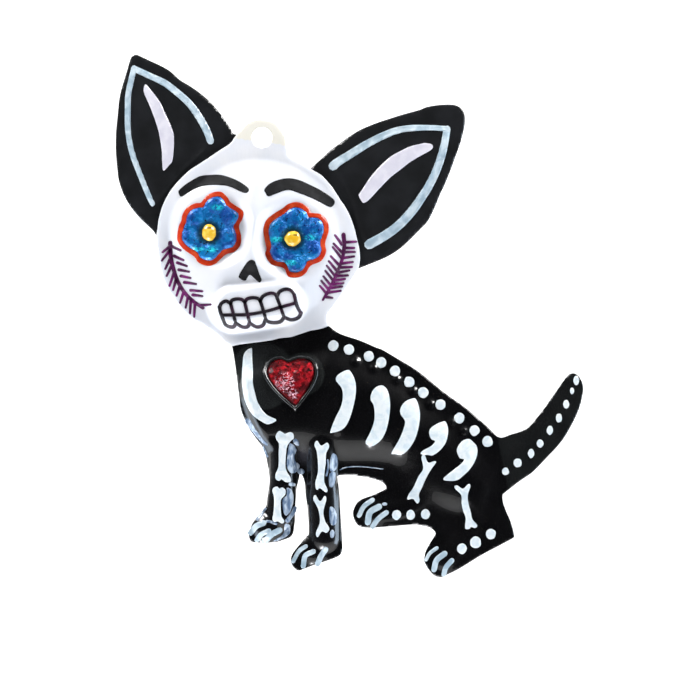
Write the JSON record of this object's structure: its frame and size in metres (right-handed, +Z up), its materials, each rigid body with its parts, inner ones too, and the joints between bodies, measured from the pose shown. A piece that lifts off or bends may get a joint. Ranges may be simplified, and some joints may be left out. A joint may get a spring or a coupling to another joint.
{
  "type": "hanging tin ornament",
  "caption": "Flat hanging ornament in pressed, painted tin: a sitting chihuahua skeleton with large ears, flower eyes, a heart and a raised tail.",
  "frame": {"origin": "centre of the hanging hole, halfway through the head plate's sheet", "axes": "+Z up as the ornament hangs in the picture, +X to the right seen from the front, the painted front faces -Y"},
  "size_m": [0.1076, 0.0068, 0.1205],
  "materials": {
    "white_enamel": "gloss white enamel brushed on tinplate, bare tin on the back",
    "black_enamel": "gloss black enamel on tinplate, bare tin on the back",
    "blue_lacquer": "translucent blue lacquer over crinkled tin",
    "yellow_enamel": "gloss yellow enamel",
    "red_lacquer": "translucent red lacquer over crinkled tin",
    "solder": "dull soft solder"
  },
  "bodies": {
    "root": {"head_plate": "white_enamel", "body_plate": "black_enamel", "left_ear": "black_enamel", "right_ear": "black_enamel", "left_eye_flower": "blue_lacquer", "right_eye_flower": "blue_lacquer", "left_eye_rivet": "yellow_enamel", "right_eye_rivet": "yellow_enamel", "heart": "red_lacquer", "left_ear_solder": "solder", "right_ear_solder": "solder", "neck_solder": "solder"}
  },
  "joints": []
}
